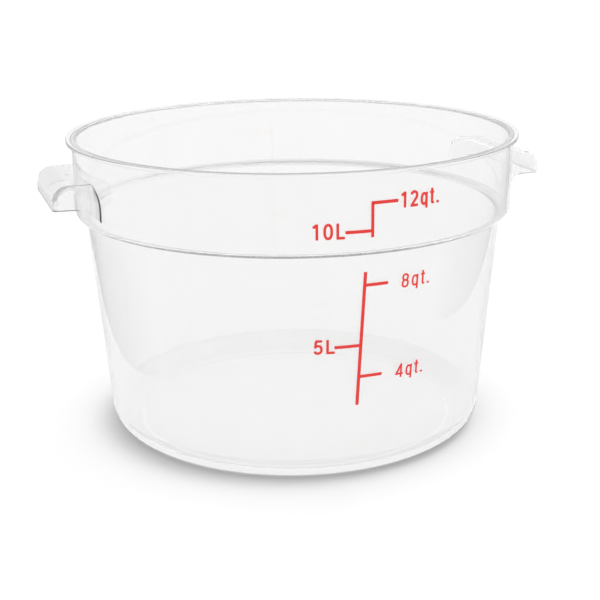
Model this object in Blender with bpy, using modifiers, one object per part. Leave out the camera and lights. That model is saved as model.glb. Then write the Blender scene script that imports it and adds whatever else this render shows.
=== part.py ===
"""Round food storage container of clear plastic, for twelve quarts or ten litres.

One moulding makes the tapered body, the wider collar, the rim and the two hooded handles.
Two printed scales lie on its front, one on the collar and one on the body.
Metres, +Z up. The origin is under the middle of the foot, on the ground.
The handles lie along X, and the printed scales face -Y.
"""
import math

import bmesh
import bpy
from mathutils import Matrix, Vector

COLLECTION_NAME = "round_storage_container"
CUTTER_COLLECTION_NAME = "round_storage_container_tools"

# Fineness of the round forms
RING_STEPS = 96
LARGE_ROUND_STEPS = 6
MIDDLE_ROUND_STEPS = 4
SMALL_ROUND_STEPS = 2
CORNER_STEPS = 5
SEAM_MERGE = 0.00001
SMOOTH_ANGLE = math.radians(32)

# Clearance between pieces that touch, and how far a cutting tool runs past what it cuts
SEAT_GAP = 0.0003
OVERRUN = 0.004

# Body and collar of the tub: heights are stacked, and each radius is set back from the one above it
BODY_HEIGHT = 0.1543
COLLAR_HEIGHT = 0.0527
RIM_RADIUS = 0.1570
RIM_OVERHANG = 0.0038
COLLAR_DRAFT = 0.0003
STEP_WIDTH = 0.0069
BODY_TAPER = 0.0127
RIM_THICKNESS = 0.0021
RIM_EDGE_ROUND = 0.0007
RIM_INNER_ROUND = 0.0010
RIM_ROOT_ROUND = 0.0010
STEP_ROUND = 0.0037
STEP_ROOT_ROUND = 0.0012
FOOT_ROUND = 0.0135
WALL = 0.0028
FLOOR_THICKNESS = 0.0032
FLOOR_LIFT = 0.0012
FOOT_RING_WIDTH = 0.0060
HEIGHT = BODY_HEIGHT + COLLAR_HEIGHT
COLLAR_TOP_RADIUS = RIM_RADIUS - RIM_OVERHANG
COLLAR_BASE_RADIUS = COLLAR_TOP_RADIUS - COLLAR_DRAFT
BODY_TOP_RADIUS = COLLAR_BASE_RADIUS - STEP_WIDTH
BODY_FOOT_RADIUS = BODY_TOP_RADIUS - BODY_TAPER

# Handles: a hood that stands out from the collar and is open below
HANDLE_BELOW_RIM = 0.0200
HANDLE_REACH = 0.0214
HANDLE_DEPTH = 0.0160
HANDLE_ROOT_HALF_WIDTH = 0.0485
HANDLE_SIDE_FLARE = 0.0097
HANDLE_ROOT_CORNER = 0.0150
HANDLE_LIP_CORNER = 0.0032
HANDLE_LEAST_CORNER = 0.0004
HANDLE_FLARE_POWER = 2.6
HANDLE_CREST_ROUND = 0.0110
HANDLE_NOSE_ROUND = 0.0030
HANDLE_GUSSET_DROP = 0.0077
HANDLE_GUSSET_REACH = 0.0094
HANDLE_WALL = 0.0025
HANDLE_TOP = HEIGHT - HANDLE_BELOW_RIM
HANDLE_LIP_HEIGHT = HANDLE_TOP - HANDLE_DEPTH
HANDLE_GUSSET_FOOT = HANDLE_LIP_HEIGHT - HANDLE_GUSSET_DROP
HANDLE_LIP_HALF_WIDTH = HANDLE_ROOT_HALF_WIDTH - HANDLE_SIDE_FLARE
HANDLE_FLARE_STATION_SHARES = (0.0, 0.06, 0.13, 0.22, 0.34, 0.52)

# Spot left by the moulding gate on each handle
GATE_SPOT_RADIUS = 0.0011
GATE_SPOT_HEIGHT = 0.0004
GATE_SPOT_FROM_COLLAR = 0.0058
GATE_SPOT_SIDES = 12

# Printed scales: lines of ink on the outside of the wall, with their marks at shares of the wall's height
INK_THICKNESS = 0.0003
INK_LINE_WIDTH = 0.0016
INK_BEND_STEP = 0.0030
TICK_LENGTH = 0.0172
COLLAR_SCALE_ANGLE = math.radians(-0.1)
COLLAR_SCALE_FOOT_SHARE = 0.224
TWELVE_QUART_SHARE = 0.626
TEN_LITRE_SHARE = 0.292
BODY_SCALE_TOP_ANGLE = math.radians(-0.4)
BODY_SCALE_FOOT_ANGLE = math.radians(-1.4)
BODY_SCALE_TOP_SHARE = 0.923
BODY_SCALE_FOOT_SHARE = 0.340
EIGHT_QUART_SHARE = 0.863
FIVE_LITRE_SHARE = 0.602
FOUR_QUART_SHARE = 0.466

CLEAR_PLASTIC = {"color": (0.93, 0.94, 0.94, 1.0), "roughness": 0.06, "metallic": 0.0, "alpha": 0.35}
RED_INK = {"color": (0.78, 0.045, 0.035, 1.0), "roughness": 0.42, "metallic": 0.0, "alpha": 1.0}


def clear_scene():
    for obj in list(bpy.data.objects):
        bpy.data.objects.remove(obj, do_unlink=True)


def new_collection(name):
    collection = bpy.data.collections.new(name)
    bpy.context.scene.collection.children.link(collection)
    return collection


def new_material(name, finish):
    material = bpy.data.materials.new(name)
    material.use_nodes = True
    shader = material.node_tree.nodes["Principled BSDF"]
    shader.inputs["Base Color"].default_value = finish["color"]
    shader.inputs["Roughness"].default_value = finish["roughness"]
    shader.inputs["Metallic"].default_value = finish["metallic"]
    shader.inputs["Alpha"].default_value = finish["alpha"]
    material.diffuse_color = finish["color"]
    return material


def object_from_bmesh(name, bm, collection):
    mesh = bpy.data.meshes.new(name)
    bm.to_mesh(mesh)
    bm.free()
    obj = bpy.data.objects.new(name, mesh)
    collection.objects.link(obj)
    return obj


def as_tool(obj):
    obj.hide_render = True
    obj.display_type = 'WIRE'
    return obj


def add_boolean(obj, tool, operation):
    modifier = obj.modifiers.new(tool.name, 'BOOLEAN')
    modifier.operation = operation
    modifier.solver = 'EXACT'
    modifier.object = tool


def apply_modifiers(obj):
    """Swap an object's mesh for its evaluated mesh, so that it can be shaded by its angles."""
    evaluated = obj.evaluated_get(bpy.context.evaluated_depsgraph_get())
    mesh = bpy.data.meshes.new_from_object(evaluated)
    obj.modifiers.clear()
    obj.data = mesh


def shade_round(obj):
    obj.data.shade_smooth()
    obj.data.set_sharp_from_angle(angle=SMOOTH_ANGLE)


# Outlines with rounded corners

def rounded_corner(before, corner, after, radius, steps):
    """Points of the arc that rounds one corner of an outline, in the order of the outline."""
    back = (before - corner).normalized()
    ahead = (after - corner).normalized()
    half_angle = back.angle(ahead) / 2
    centre = corner + (back + ahead).normalized() * (radius / math.sin(half_angle))
    start = corner + back * (radius / math.tan(half_angle)) - centre
    turn = math.pi - 2 * half_angle
    if back.x * ahead.y - back.y * ahead.x > 0:
        turn = -turn
    points = []
    for step in range(steps + 1):
        angle = turn * step / steps
        cosine, sine = math.cos(angle), math.sin(angle)
        points.append(centre + Vector((start.x * cosine - start.y * sine, start.x * sine + start.y * cosine)))
    return points


def rounded_outline(corners):
    """An open outline from (point, radius, steps) corners; a radius of zero keeps the corner sharp."""
    points = []
    for index, (corner, radius, steps) in enumerate(corners):
        if radius == 0:
            points.append(corner)
        else:
            before = corners[index - 1][0]
            after = corners[index + 1][0]
            points.extend(rounded_corner(before, corner, after, radius, steps))
    return points


# Radii of the wall, at any height

def body_radius(height):
    """Outer radius of the tapered body."""
    return BODY_FOOT_RADIUS + BODY_TAPER * height / BODY_HEIGHT


def collar_radius(height):
    """Outer radius of the collar, which has a slight draft."""
    return COLLAR_BASE_RADIUS + COLLAR_DRAFT * (height - BODY_HEIGHT) / COLLAR_HEIGHT


# The tub

def tub_profile():
    """From the middle of the floor up the inside, over the rim and down the outside to the foot."""
    floor_top = FLOOR_LIFT + FLOOR_THICKNESS
    ledge = BODY_HEIGHT + WALL
    rim_underside = HEIGHT - RIM_THICKNESS
    ring_outer = body_radius(0) - FOOT_ROUND
    ring_inner = ring_outer - FOOT_RING_WIDTH
    sharp = (0, 0)
    small = SMALL_ROUND_STEPS
    corners = [
        (Vector((0, floor_top)), *sharp),
        (Vector((body_radius(floor_top) - WALL, floor_top)), FOOT_ROUND - WALL, LARGE_ROUND_STEPS),
        (Vector((body_radius(ledge) - WALL, ledge)), STEP_ROOT_ROUND + WALL, MIDDLE_ROUND_STEPS),
        (Vector((collar_radius(ledge) - WALL, ledge)), STEP_ROUND - WALL, small),
        (Vector((collar_radius(HEIGHT) - WALL, HEIGHT)), RIM_INNER_ROUND, small),
        (Vector((RIM_RADIUS, HEIGHT)), RIM_EDGE_ROUND, small),
        (Vector((RIM_RADIUS, rim_underside)), RIM_EDGE_ROUND, small),
        (Vector((collar_radius(rim_underside), rim_underside)), RIM_ROOT_ROUND, small),
        (Vector((COLLAR_BASE_RADIUS, BODY_HEIGHT)), STEP_ROUND, MIDDLE_ROUND_STEPS),
        (Vector((BODY_TOP_RADIUS, BODY_HEIGHT)), STEP_ROOT_ROUND, small),
        (Vector((BODY_FOOT_RADIUS, 0)), FOOT_ROUND, LARGE_ROUND_STEPS),
        (Vector((ring_inner, 0)), *sharp),
        (Vector((ring_inner - FLOOR_LIFT, FLOOR_LIFT)), *sharp),
        (Vector((0, FLOOR_LIFT)), *sharp),
    ]
    return rounded_outline(corners)


def add_turned(name, profile, collection):
    """A profile of (radius, height) points turned round the Z axis."""
    bm = bmesh.new()
    verts = [bm.verts.new((point.x, 0, point.y)) for point in profile]
    for first, second in zip(verts, verts[1:]):
        bm.edges.new((first, second))
    obj = object_from_bmesh(name, bm, collection)
    screw = obj.modifiers.new("turn", 'SCREW')
    screw.axis = 'Z'
    screw.steps = RING_STEPS
    screw.render_steps = RING_STEPS
    screw.use_merge_vertices = True
    screw.merge_threshold = SEAM_MERGE
    return obj


# The handles, worked out for the one on the +X side

def handle_root():
    """Distance from the axis of the chord where the sides of the hood meet the collar."""
    return math.sqrt(collar_radius(HANDLE_TOP) ** 2 - HANDLE_ROOT_HALF_WIDTH ** 2)


def handle_front():
    """Distance from the axis of the front of the hood's lip."""
    return collar_radius(HANDLE_TOP) + HANDLE_REACH


def flare(out):
    """1 where the sides of the hood meet the collar, falling to 0 at its lip."""
    share = (handle_front() - out) / (handle_front() - handle_root())
    return min(max(share, 0), 1) ** HANDLE_FLARE_POWER


def rounding_loss(out, radius):
    """How far a quarter round that ends at the lip's front has fallen away at a distance out."""
    into_round = max(out - (handle_front() - radius), 0)
    return radius - math.sqrt(max(radius ** 2 - into_round ** 2, 0))


def hood_half_width(out):
    """Half the width of the hood at a distance from the axis, with its nose rounded off."""
    width = HANDLE_LIP_HALF_WIDTH + HANDLE_SIDE_FLARE * flare(out)
    return width - rounding_loss(out, HANDLE_NOSE_ROUND)


def hood_corner(out):
    """Radius between the top and the sides of the hood."""
    return HANDLE_LIP_CORNER + (HANDLE_ROOT_CORNER - HANDLE_LIP_CORNER) * flare(out)


def hood_top(out):
    """Height of the hood's top, which rolls over into the lip."""
    return HANDLE_TOP - rounding_loss(out, HANDLE_CREST_ROUND)


def hood_bottom(out):
    """Height of the hood's lower edge, which drops to a gusset at the collar."""
    share = min(max((out - handle_root()) / HANDLE_GUSSET_REACH, 0), 1)
    return HANDLE_GUSSET_FOOT + HANDLE_GUSSET_DROP * share


def hood_stations():
    """Distances from the axis at which the hood is cut into sections, close together at the nose."""
    root = handle_root()
    front = handle_front()
    crest_start = front - HANDLE_CREST_ROUND
    stations = [root - WALL - OVERRUN]
    stations += [root + (front - root) * share for share in HANDLE_FLARE_STATION_SHARES]
    stations.append(root + HANDLE_GUSSET_REACH)
    for step in range(LARGE_ROUND_STEPS + 1):
        stations.append(crest_start + HANDLE_CREST_ROUND * math.sin(math.pi / 2 * step / LARGE_ROUND_STEPS))
    for step in range(1, CORNER_STEPS):
        angle = math.pi / 2 * step / CORNER_STEPS
        stations.append(front - HANDLE_NOSE_ROUND * (1 - math.sin(angle)))
    return sorted(set(stations))


def arch_section(out, inset, foot):
    """Points of an arch across the hood, from one foot over the top to the other foot."""
    half_width = hood_half_width(out) - inset
    corner = max(hood_corner(out) - inset, HANDLE_LEAST_CORNER)
    top = hood_top(out) - inset
    points = [Vector((half_width, foot))]
    for step in range(CORNER_STEPS + 1):
        angle = math.pi / 2 * step / CORNER_STEPS
        points.append(Vector((half_width - corner + corner * math.cos(angle), top - corner + corner * math.sin(angle))))
    return points + [Vector((-point.x, point.y)) for point in reversed(points)]


def add_hood(name, inset, foot_drop, collection):
    """A solid lofted through arches; an inset makes the hollow inside the hood's wall."""
    bm = bmesh.new()
    loops = []
    for out in hood_stations():
        foot = hood_bottom(out) - foot_drop
        section = arch_section(out, inset, foot)
        verts = [bm.verts.new((out - inset, point.x, point.y)) for point in section]
        loops.append([bm.edges.new((a, b)) for a, b in zip(verts, verts[1:] + verts[:1])])
    bm.edges.index_update()
    for first, second in zip(loops, loops[1:]):
        bmesh.ops.bridge_loops(bm, edges=first + second)
    bmesh.ops.contextual_create(bm, geom=loops[0])
    bmesh.ops.contextual_create(bm, geom=loops[-1])
    bmesh.ops.recalc_face_normals(bm, faces=bm.faces)
    return object_from_bmesh(name, bm, collection)


def add_core(collection):
    """A plug that clears the inside of the tub, up to the middle of the collar's wall."""
    bm = bmesh.new()
    depth = HANDLE_DEPTH + HANDLE_GUSSET_DROP + 2 * OVERRUN
    radius = COLLAR_BASE_RADIUS - WALL / 2
    middle = Matrix.Translation((0, 0, (HANDLE_TOP + HANDLE_GUSSET_FOOT) / 2))
    bmesh.ops.create_cone(bm, cap_ends=True, segments=RING_STEPS, radius1=radius, radius2=radius,
                          depth=depth, matrix=middle)
    return as_tool(object_from_bmesh("handle_core", bm, collection))


def add_handle(name, turn, core, tools):
    """A hood with an open underside, cut back to the collar's wall, ready to be joined to the tub."""
    hood = as_tool(add_hood(name, 0, 0, tools))
    hollow = as_tool(add_hood(name + "_hollow", HANDLE_WALL, HANDLE_GUSSET_DROP + OVERRUN, tools))
    for piece in (hood, hollow):
        piece.data.transform(Matrix.Rotation(turn, 4, 'Z'))
    add_boolean(hood, hollow, 'DIFFERENCE')
    add_boolean(hood, core, 'DIFFERENCE')
    return hood


def add_gate_spot(name, turn, tools):
    """The small disc that the moulding gate leaves on top of a handle."""
    bm = bmesh.new()
    depth = GATE_SPOT_HEIGHT + HANDLE_WALL / 2
    centre = Vector((collar_radius(HANDLE_TOP) + GATE_SPOT_FROM_COLLAR, 0, HANDLE_TOP + GATE_SPOT_HEIGHT - depth / 2))
    place = Matrix.Rotation(turn, 4, 'Z') @ Matrix.Translation(centre)
    bmesh.ops.create_cone(bm, cap_ends=True, segments=GATE_SPOT_SIDES, radius1=GATE_SPOT_RADIUS,
                          radius2=GATE_SPOT_RADIUS, depth=depth, matrix=place)
    return as_tool(object_from_bmesh(name, bm, tools))


def add_container(collection, tools):
    """The whole clear moulding: tub, collar, rim and both handles in one piece."""
    container = add_turned("container", tub_profile(), collection)
    core = add_core(tools)
    for side, turn in (("right", 0), ("left", math.pi)):
        add_boolean(container, add_handle("handle_" + side, turn, core, tools), 'UNION')
        add_boolean(container, add_gate_spot("gate_spot_" + side, turn, tools), 'UNION')
    apply_modifiers(container)
    shade_round(container)
    container.data.materials.clear()
    container.data.materials.append(new_material("clear_plastic", CLEAR_PLASTIC))
    return container


# The printed scales

def scale_outline(top, foot, right_ticks, left_ticks):
    """Outline of an upright line with ticks; across is measured from the middle of the line."""
    half = INK_LINE_WIDTH / 2
    tip = half + TICK_LENGTH
    points = [Vector((-half, foot)), Vector((half, foot))]
    for height in sorted(right_ticks):
        points += [Vector((half, height - half)), Vector((tip, height - half))]
        points += [Vector((tip, height + half)), Vector((half, height + half))]
    if points[-1].y < top:
        points.append(Vector((half, top)))
    points.append(Vector((-half, top)))
    for height in sorted(left_ticks, reverse=True):
        points += [Vector((-half, height + half)), Vector((-tip, height + half))]
        points += [Vector((-tip, height - half)), Vector((-half, height - half))]
    return points


def add_flat_print(name, outline, collection):
    """The outline as a flat plate of ink, in a plane that still has to be wrapped round the wall."""
    curve = bpy.data.curves.new(name, 'CURVE')
    curve.dimensions = '2D'
    curve.fill_mode = 'BOTH'
    curve.extrude = INK_THICKNESS / 2
    spline = curve.splines.new('POLY')
    spline.points.add(len(outline) - 1)
    for spline_point, point in zip(spline.points, outline):
        spline_point.co = (point.x, point.y, 0, 1)
    spline.use_cyclic_u = True
    flat = bpy.data.objects.new(name + "_outline", curve)
    collection.objects.link(flat)
    evaluated = flat.evaluated_get(bpy.context.evaluated_depsgraph_get())
    mesh = bpy.data.meshes.new_from_object(evaluated)
    bpy.data.objects.remove(flat, do_unlink=True)
    mesh.name = name
    obj = bpy.data.objects.new(name, mesh)
    collection.objects.link(obj)
    return obj


def cut_print(bm, outline):
    """Cut a flat plate into rectangles: up and down at each corner of its outline, and across in even steps."""
    bmesh.ops.dissolve_limit(bm, angle_limit=SMOOTH_ANGLE, verts=bm.verts, edges=bm.edges)
    half = INK_LINE_WIDTH / 2
    steps = math.ceil(TICK_LENGTH / INK_BEND_STEP)
    sides = [half + TICK_LENGTH * step / steps for step in range(steps)]
    cuts = [(Vector((side * across, 0, 0)), Vector((1, 0, 0))) for side in (-1, 1) for across in sides]
    cuts += [(Vector((0, height, 0)), Vector((0, 1, 0))) for height in {point.y for point in outline}]
    for place, normal in cuts:
        bmesh.ops.bisect_plane(bm, geom=bm.verts[:] + bm.edges[:] + bm.faces[:], dist=SEAM_MERGE,
                               plane_co=place, plane_no=normal)


def wrap_round_wall(obj, outline, wall_radius, line_angle):
    """Bend a flat plate round the wall; both functions give their value for a height."""
    bm = bmesh.new()
    bm.from_mesh(obj.data)
    bmesh.ops.remove_doubles(bm, verts=bm.verts, dist=SEAM_MERGE)
    cut_print(bm, outline)
    bmesh.ops.recalc_face_normals(bm, faces=bm.faces)
    for vert in bm.verts:
        across, height, off = vert.co
        radius = wall_radius(height)
        angle = line_angle(height) + across / radius
        stand_off = radius + SEAT_GAP + INK_THICKNESS / 2 + off
        vert.co = (stand_off * math.sin(angle), -stand_off * math.cos(angle), height)
    bm.to_mesh(obj.data)
    bm.free()


def collar_line_angle(height):
    return COLLAR_SCALE_ANGLE


def collar_height(share):
    return BODY_HEIGHT + COLLAR_HEIGHT * share


def body_height(share):
    return BODY_HEIGHT * share


def body_line_angle(height):
    """The line on the body leans a little, as it was printed."""
    foot = body_height(BODY_SCALE_FOOT_SHARE)
    share = (height - foot) / (body_height(BODY_SCALE_TOP_SHARE) - foot)
    return BODY_SCALE_FOOT_ANGLE + (BODY_SCALE_TOP_ANGLE - BODY_SCALE_FOOT_ANGLE) * share


def add_scales(collection):
    """The two printed scales of red ink."""
    ink = new_material("red_ink", RED_INK)
    twelve_quarts = collar_height(TWELVE_QUART_SHARE)
    collar_outline = scale_outline(twelve_quarts + INK_LINE_WIDTH / 2, collar_height(COLLAR_SCALE_FOOT_SHARE),
                                   [twelve_quarts], [collar_height(TEN_LITRE_SHARE)])
    collar_scale = add_flat_print("collar_scale", collar_outline, collection)
    wrap_round_wall(collar_scale, collar_outline, collar_radius, collar_line_angle)
    body_outline = scale_outline(body_height(BODY_SCALE_TOP_SHARE), body_height(BODY_SCALE_FOOT_SHARE),
                                 [body_height(EIGHT_QUART_SHARE), body_height(FOUR_QUART_SHARE)],
                                 [body_height(FIVE_LITRE_SHARE)])
    body_scale = add_flat_print("body_scale", body_outline, collection)
    wrap_round_wall(body_scale, body_outline, body_radius, body_line_angle)
    for scale in (collar_scale, body_scale):
        scale.data.materials.clear()
        scale.data.materials.append(ink)
        shade_round(scale)


def main():
    clear_scene()
    collection = new_collection(COLLECTION_NAME)
    tools = new_collection(CUTTER_COLLECTION_NAME)
    add_container(collection, tools)
    add_scales(collection)


main()
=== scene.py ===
# %% [markdown]
# # A round food storage tub of clear plastic
#
# The real tub is one injection moulding: a tapered body, a step out to a wider collar, an outward rim
# and two hooded handles. Two scales and their figures are printed on its front in red ink.
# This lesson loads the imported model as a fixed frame, builds a finer moulding over it, adds the
# printed figures, and gives clear plastic and ink their finish under soft studio light.
# Everything is in metres, with +Z up and the origin under the middle of the foot.

import math

import bmesh
import bpy
from mathutils import Matrix, Quaternion, Vector


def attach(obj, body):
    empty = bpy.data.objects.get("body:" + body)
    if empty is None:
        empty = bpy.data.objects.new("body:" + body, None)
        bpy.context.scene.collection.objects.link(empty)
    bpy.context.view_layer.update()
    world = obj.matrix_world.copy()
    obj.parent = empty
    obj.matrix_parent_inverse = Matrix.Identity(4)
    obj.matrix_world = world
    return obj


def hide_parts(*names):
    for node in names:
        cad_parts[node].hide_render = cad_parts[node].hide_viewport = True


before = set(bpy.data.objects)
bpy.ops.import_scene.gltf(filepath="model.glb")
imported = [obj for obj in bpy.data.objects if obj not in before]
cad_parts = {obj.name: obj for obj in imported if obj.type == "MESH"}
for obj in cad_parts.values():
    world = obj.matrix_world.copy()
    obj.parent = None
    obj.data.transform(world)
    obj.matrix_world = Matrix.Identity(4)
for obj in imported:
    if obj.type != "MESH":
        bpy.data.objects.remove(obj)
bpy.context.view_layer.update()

# %% [markdown]
# ## Where the camera stands
#
# The photograph looks a little down on the tub from the front, with a long lens. A camera can be aimed
# by eye, but the outlines of a round tub say more: the shape of each ellipse gives the height of the
# camera, and how the far ellipses shrink gives its distance. Those numbers are used here.
# The tub is turned on the floor, so the camera's place is worked out in the tub's own directions.

# %% Camera
CAMERA_DISTANCE = 0.8780
CAMERA_HEIGHT = 0.3553
CAMERA_PITCH = -0.3020
CAMERA_YAW = 0.0049
CAMERA_ROLL = -0.0109
CAMERA_LENS = 75.44
TUB_TURN = math.radians(18.2)

to_tub = Matrix.Rotation(-TUB_TURN, 3, 'Z')


def from_photo(x, y, z):
    """A point given in the directions of the photograph, turned into the tub's own."""
    return to_tub @ Vector((x, y, z))


camera_data = bpy.data.cameras.new("camera")
camera_data.lens = CAMERA_LENS
camera_data.sensor_width = 36
camera_data.sensor_fit = 'HORIZONTAL'
camera = bpy.data.objects.new("camera", camera_data)
bpy.context.scene.collection.objects.link(camera)
level = math.cos(CAMERA_PITCH)
forward = from_photo(math.sin(CAMERA_YAW) * level, math.cos(CAMERA_YAW) * level, math.sin(CAMERA_PITCH))
camera.location = from_photo(0, -CAMERA_DISTANCE, CAMERA_HEIGHT)
camera.rotation_mode = 'QUATERNION'
camera.rotation_quaternion = forward.to_track_quat('-Z', 'Y') @ Quaternion((0, 0, 1), CAMERA_ROLL)
bpy.context.scene.camera = camera
print("camera at", [round(value, 4) for value in camera.location])

# %% [markdown]
# ## Small helpers for the modelling
#
# Every piece is made in a bmesh, turned into an object and set to ride on the frame. The tub has no
# joints, so its only body is called root. Smooth shading is kept honest by two things: edges sharper
# than a limit stay crisp, and large faces weigh more in the normals, so flat walls stay flat.

# %% Helpers
SMOOTH_ANGLE = math.radians(34)
MERGE = 0.000002


def new_object(name, bm):
    """Turn a bmesh into an object of the scene."""
    mesh = bpy.data.meshes.new(name)
    bm.to_mesh(mesh)
    bm.free()
    obj = bpy.data.objects.new(name, mesh)
    bpy.context.scene.collection.objects.link(obj)
    return obj


def bake_modifiers(obj):
    """Swap the object's mesh for the shape that its modifiers give it."""
    evaluated = obj.evaluated_get(bpy.context.evaluated_depsgraph_get())
    obj.data = bpy.data.meshes.new_from_object(evaluated)
    obj.modifiers.clear()


def smooth(obj):
    """Round shading with crisp edges, and normals that follow the larger faces."""
    obj.data.shade_smooth()
    obj.data.set_sharp_from_angle(angle=SMOOTH_ANGLE)
    weighted = obj.modifiers.new("weighted", 'WEIGHTED_NORMAL')
    weighted.keep_sharp = True
    bake_modifiers(obj)


def in_mm(obj):
    """The object's width, depth and height in millimetres."""
    return [round(value * 1000, 1) for value in obj.dimensions]


# %% [markdown]
# ## The outline of the moulding
#
# A tub like this is turned: one half outline, spun about the upright axis, gives floor, wall, step,
# collar and rim at once. The outline could be typed as many points, but a moulder thinks in sharp
# corners and radii. So the sharp corners are placed first, and each one is then rounded by a bevel
# that is told to work on vertices. On a bare wire such a bevel gives a true arc.

# %% Sizes of the tub
BODY_HEIGHT = 0.1543
COLLAR_HEIGHT = 0.0527
RIM_RADIUS = 0.1570
RIM_OVERHANG = 0.0038
COLLAR_DRAFT = 0.0003
STEP_WIDTH = 0.0069
BODY_TAPER = 0.0127
RIM_THICKNESS = 0.0021
RIM_EDGE_ROUND = 0.0007
RIM_INNER_ROUND = 0.0010
RIM_ROOT_ROUND = 0.0010
STEP_ROUND = 0.0037
STEP_ROOT_ROUND = 0.0012
FOOT_ROUND = 0.0135
WALL = 0.0028
LEDGE_THICKNESS = 0.0022
FLOOR_THICKNESS = 0.0032
FLOOR_LIFT = 0.0012
FOOT_RING_WIDTH = 0.0060
FOOT_EDGE_ROUND = 0.0005
HEIGHT = BODY_HEIGHT + COLLAR_HEIGHT
COLLAR_TOP_RADIUS = RIM_RADIUS - RIM_OVERHANG
COLLAR_BASE_RADIUS = COLLAR_TOP_RADIUS - COLLAR_DRAFT
BODY_TOP_RADIUS = COLLAR_BASE_RADIUS - STEP_WIDTH
BODY_FOOT_RADIUS = BODY_TOP_RADIUS - BODY_TAPER


def body_radius(height):
    """Outer radius of the tapered body."""
    return BODY_FOOT_RADIUS + BODY_TAPER * height / BODY_HEIGHT


def collar_radius(height):
    """Outer radius of the collar, which has a slight draft."""
    return COLLAR_BASE_RADIUS + COLLAR_DRAFT * (height - BODY_HEIGHT) / COLLAR_HEIGHT


# %% The rounded outline, spun into the tub
RING_STEPS = 384
FINE, MIDDLE, COARSE = 16, 14, 8


def rounded_wire(corners):
    """A bare wire through (radius, height, round, segments) corners, each rounded by a vertex bevel."""
    bm = bmesh.new()
    verts = [bm.verts.new((radius, 0, height)) for radius, height, _, _ in corners]
    for first, second in zip(verts, verts[1:]):
        bm.edges.new((first, second))
    for vert, (_, _, rounding, segments) in zip(verts, corners):
        if rounding:
            to_corner = [(edge.other_vert(vert).co - vert.co).normalized() for edge in vert.link_edges]
            reach = rounding / math.tan(to_corner[0].angle(to_corner[1]) / 2)
            bmesh.ops.bevel(bm, geom=[vert], offset=reach, offset_type='OFFSET', segments=segments,
                            profile=0.5, affect='VERTICES', material=-1)
    return bm


def spin_about_axis(bm):
    """Spin a wire about Z into a closed skin, with its seam and poles closed and its faces outwards."""
    bmesh.ops.spin(bm, geom=bm.verts[:] + bm.edges[:], cent=(0, 0, 0), axis=(0, 0, 1),
                   angle=math.tau, steps=RING_STEPS, use_merge=True, use_duplicate=False)
    bmesh.ops.remove_doubles(bm, verts=bm.verts, dist=MERGE)
    bmesh.ops.recalc_face_normals(bm, faces=bm.faces)
    return bm


floor_top = FLOOR_LIFT + FLOOR_THICKNESS
ledge = BODY_HEIGHT + LEDGE_THICKNESS
rim_underside = HEIGHT - RIM_THICKNESS
ring_inner = body_radius(0) - FOOT_ROUND - FOOT_RING_WIDTH
tub_corners = [
    (0, floor_top, 0, 0),
    (body_radius(floor_top) - WALL, floor_top, FOOT_ROUND - WALL, FINE),
    (body_radius(ledge) - WALL, ledge, STEP_ROOT_ROUND + WALL, MIDDLE),
    (collar_radius(ledge) - WALL, ledge, STEP_ROUND - WALL, COARSE),
    (collar_radius(HEIGHT) - WALL, HEIGHT, RIM_INNER_ROUND, COARSE),
    (RIM_RADIUS, HEIGHT, RIM_EDGE_ROUND, COARSE),
    (RIM_RADIUS, rim_underside, RIM_EDGE_ROUND, COARSE),
    (collar_radius(rim_underside), rim_underside, RIM_ROOT_ROUND, COARSE),
    (COLLAR_BASE_RADIUS, BODY_HEIGHT, STEP_ROUND, MIDDLE),
    (BODY_TOP_RADIUS, BODY_HEIGHT, STEP_ROOT_ROUND, COARSE),
    (BODY_FOOT_RADIUS, 0, FOOT_ROUND, FINE),
    (ring_inner, 0, FOOT_EDGE_ROUND, COARSE),
    (ring_inner - FLOOR_LIFT, FLOOR_LIFT, FOOT_EDGE_ROUND, COARSE),
    (0, FLOOR_LIFT, 0, 0),
]
moulding = new_object("moulding", spin_about_axis(rounded_wire(tub_corners)))
print("tub", in_mm(moulding), "mm,", len(moulding.data.polygons), "faces")

# %% [markdown]
# ## The hooded handles
#
# Each handle is a hood: its top and its end walls flow out of the collar, roll over at the lip, and
# leave the underside open for the fingers. Its end walls flare where they meet the collar, and its
# corners grow rounder towards it, so no single outline can be swept. The hood is a loft instead:
# arches stand across it at many distances from the axis, and neighbouring arches are bridged.
# A second, smaller loft hollows it out, with thinner end walls at the collar, and a plug keeps both out
# of the inside of the tub.

# %% Sizes of the handles
HANDLE_BELOW_RIM = 0.0200
HANDLE_REACH = 0.0214
HANDLE_DEPTH = 0.0160
HANDLE_ROOT_HALF_WIDTH = 0.0485
HANDLE_SIDE_FLARE = 0.0097
HANDLE_ROOT_CORNER = 0.0150
HANDLE_LIP_CORNER = 0.0032
HANDLE_LEAST_CORNER = 0.0004
HANDLE_FLARE_POWER = 2.6
HANDLE_CREST_ROUND = 0.0110
HANDLE_NOSE_ROUND = 0.0030
HANDLE_GUSSET_DROP = 0.0077
HANDLE_GUSSET_REACH = 0.0094
HANDLE_WALL = 0.0019
HANDLE_WALL_AT_ROOT = 0.0010
HANDLE_TOP = HEIGHT - HANDLE_BELOW_RIM
HANDLE_LIP_HEIGHT = HANDLE_TOP - HANDLE_DEPTH
HANDLE_GUSSET_FOOT = HANDLE_LIP_HEIGHT - HANDLE_GUSSET_DROP
HANDLE_LIP_HALF_WIDTH = HANDLE_ROOT_HALF_WIDTH - HANDLE_SIDE_FLARE
HANDLE_ROOT = math.sqrt(collar_radius(HANDLE_TOP) ** 2 - HANDLE_ROOT_HALF_WIDTH ** 2)
HANDLE_FRONT = collar_radius(HANDLE_TOP) + HANDLE_REACH
ROOT_STATIONS = 24
CREST_STATIONS = 12
NOSE_STATIONS = 6
ARCH_CORNER_STEPS = 12
OVERRUN = 0.004


def flare(out):
    """1 where the end walls meet the collar, falling to 0 at the lip."""
    share = (HANDLE_FRONT - out) / (HANDLE_FRONT - HANDLE_ROOT)
    return min(max(share, 0), 1) ** HANDLE_FLARE_POWER


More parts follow.
